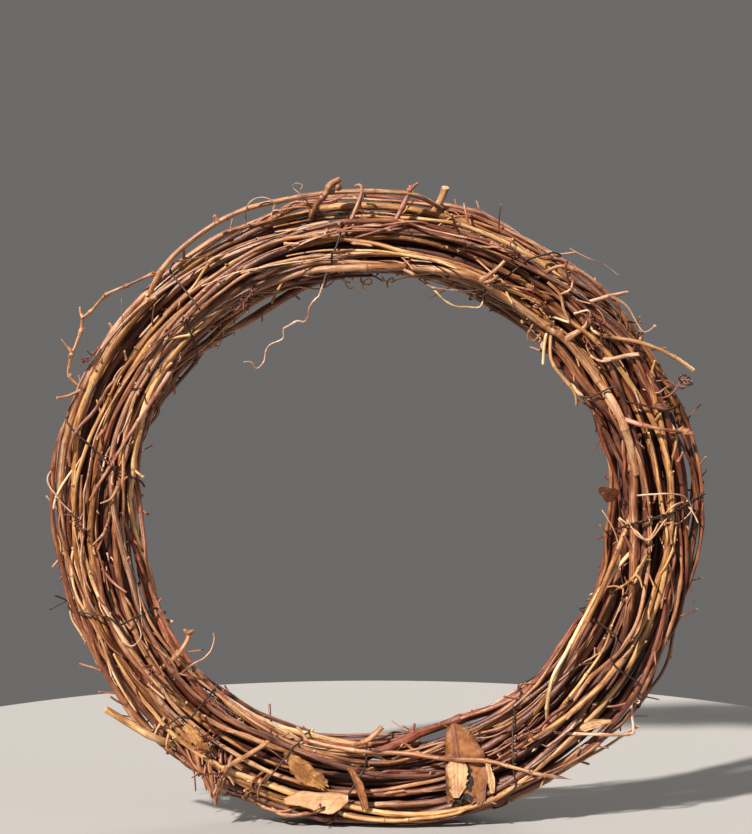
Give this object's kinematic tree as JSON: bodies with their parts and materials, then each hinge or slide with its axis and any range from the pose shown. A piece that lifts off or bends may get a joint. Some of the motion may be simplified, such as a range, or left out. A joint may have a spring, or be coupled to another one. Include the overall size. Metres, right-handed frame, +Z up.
{
  "type": "grapevine wreath frame",
  "caption": "Upright ring of wound natural vine canes bound with a thin dark wire, with side twigs, tendrils and dry leaves; a base for a wreath.",
  "frame": {"origin": "middle of the ring's underside: the point on what it stands on, straight under the middle of the ring", "axes": "+Z up, +Y along the ring's axis towards its back, front faces -Y, +X to the right seen from the front"},
  "size_m": [0.3051, 0.053, 0.3017],
  "materials": {
    "bark_brown": "matt dry bark",
    "bark_tan": "matt dry bark",
    "bark_red": "matt dry bark",
    "bark_golden": "matt dry bark, peeling",
    "bark_grey": "matt dry bark",
    "dark_wire": "dark annealed wire",
    "leaf_brown": "dry leaf",
    "leaf_tan": "dry leaf",
    "leaf_golden": "dry leaf"
  },
  "bodies": {
    "root": {"cane_01": "bark_brown", "cane_02": "bark_grey", "cane_03": "bark_red", "cane_04": "bark_golden", "cane_05": "bark_tan", "cane_06": "bark_brown", "cane_07": "bark_grey", "cane_08": "bark_red", "cane_09": "bark_golden", "cane_10": "bark_tan", "cane_11": "bark_brown", "cane_12": "bark_grey", "cane_13": "bark_red", "cane_14": "bark_golden", "cane_15": "bark_tan", "cane_16": "bark_brown", "cane_17": "bark_grey", "cane_18": "bark_red", "cane_19": "bark_golden", "cane_20": "bark_tan", "binding_wire": "dark_wire", "outer_arch_cane": "bark_tan", "chord_cane_1": "bark_golden", "chord_cane_2": "bark_golden", "bottom_cane": "bark_brown", "forked_cane": "bark_tan", "angular_twig": "bark_tan", "curved_stub": "bark_golden", "arc_twig": "bark_tan", "upper_right_twig": "bark_grey", "pointed_twig": "bark_red", "top_twig_1": "bark_tan", "top_twig_2": "bark_brown", "top_twig_3": "bark_red", "top_twig_4": "bark_tan", "fat_cut_cane": "bark_golden", "bottom_prong": "bark_tan", "inner_left_stub": "bark_tan", "inner_left_twig": "bark_red", "inner_right_stub": "bark_golden", "inner_right_twig": "bark_golden", "bracket_twig": "bark_grey", "inner_bottom_stub": "bark_tan", "diagonal_twig": "bark_red", "left_stalk": "bark_tan", "right_stalk": "bark_golden", "hanging_tendril": "bark_grey", "inner_left_tendril": "bark_grey", "inner_right_tendril": "bark_golden", "top_inner_curl": "bark_golden", "top_inner_loop": "bark_golden", "right_tendril": "bark_grey", "top_left_curl": "bark_grey", "large_leaf": "leaf_brown", "pale_leaf": "leaf_tan", "golden_leaf": "leaf_golden", "leaf_scrap": "leaf_tan", "small_leaf": "leaf_brown", "bark_strip": "leaf_golden"}
  },
  "joints": []
}
